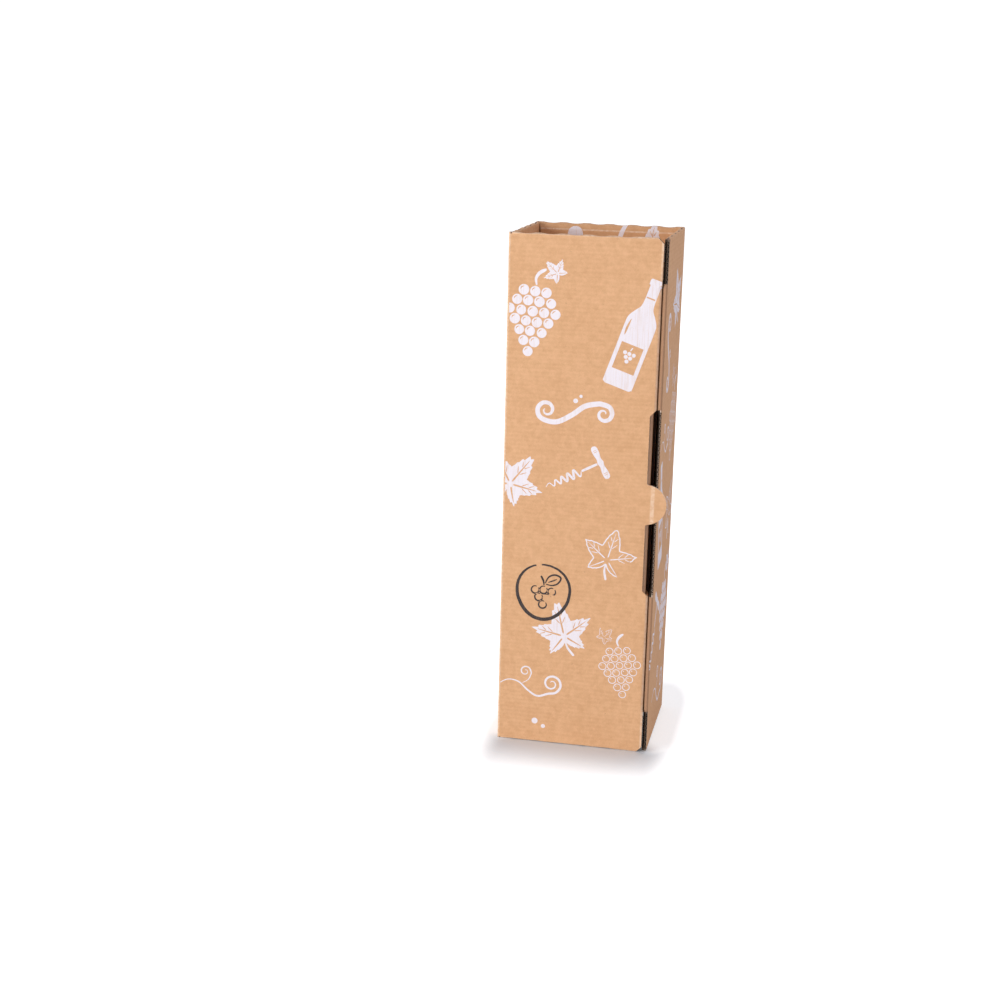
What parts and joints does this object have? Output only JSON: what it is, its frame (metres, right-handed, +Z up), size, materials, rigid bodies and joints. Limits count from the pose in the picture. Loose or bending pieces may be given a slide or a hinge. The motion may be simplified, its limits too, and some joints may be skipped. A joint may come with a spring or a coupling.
{
  "type": "bottle shipping box",
  "caption": "Tall corrugated shipping carton that stands on end, with recessed ends, a hinged tuck-in lid with a thumb tab, and a folded insert that holds a bottle.",
  "frame": {"origin": "middle of the box's footprint, thumb tab included, on the surface that it stands on", "axes": "+Z up along the box, -Y out of the lid, +X towards the lid's free edge and its thumb tab"},
  "size_m": [0.129, 0.108, 0.41],
  "materials": {
    "carton_board": "brown kraft liner, matte, with faint lines over the flutes",
    "lid_board": "brown kraft liner, matte, with faint lines over the flutes",
    "insert_board": "unprinted brown kraft liner, matte",
    "white_print": "thin white ink, matte",
    "black_print": "black ink, matte"
  },
  "bodies": {
    "box": {"carton": "carton_board", "insert": "insert_board"},
    "lid": {"lid": "lid_board"}
  },
  "joints": [
    {"name": "lid_hinge", "type": "hinge", "parent": "box", "child": "lid", "pos_m": [-0.06375, -0.0532, 0.205], "axis": [0, 0, -1], "range_deg": [0, 180]}
  ]
}
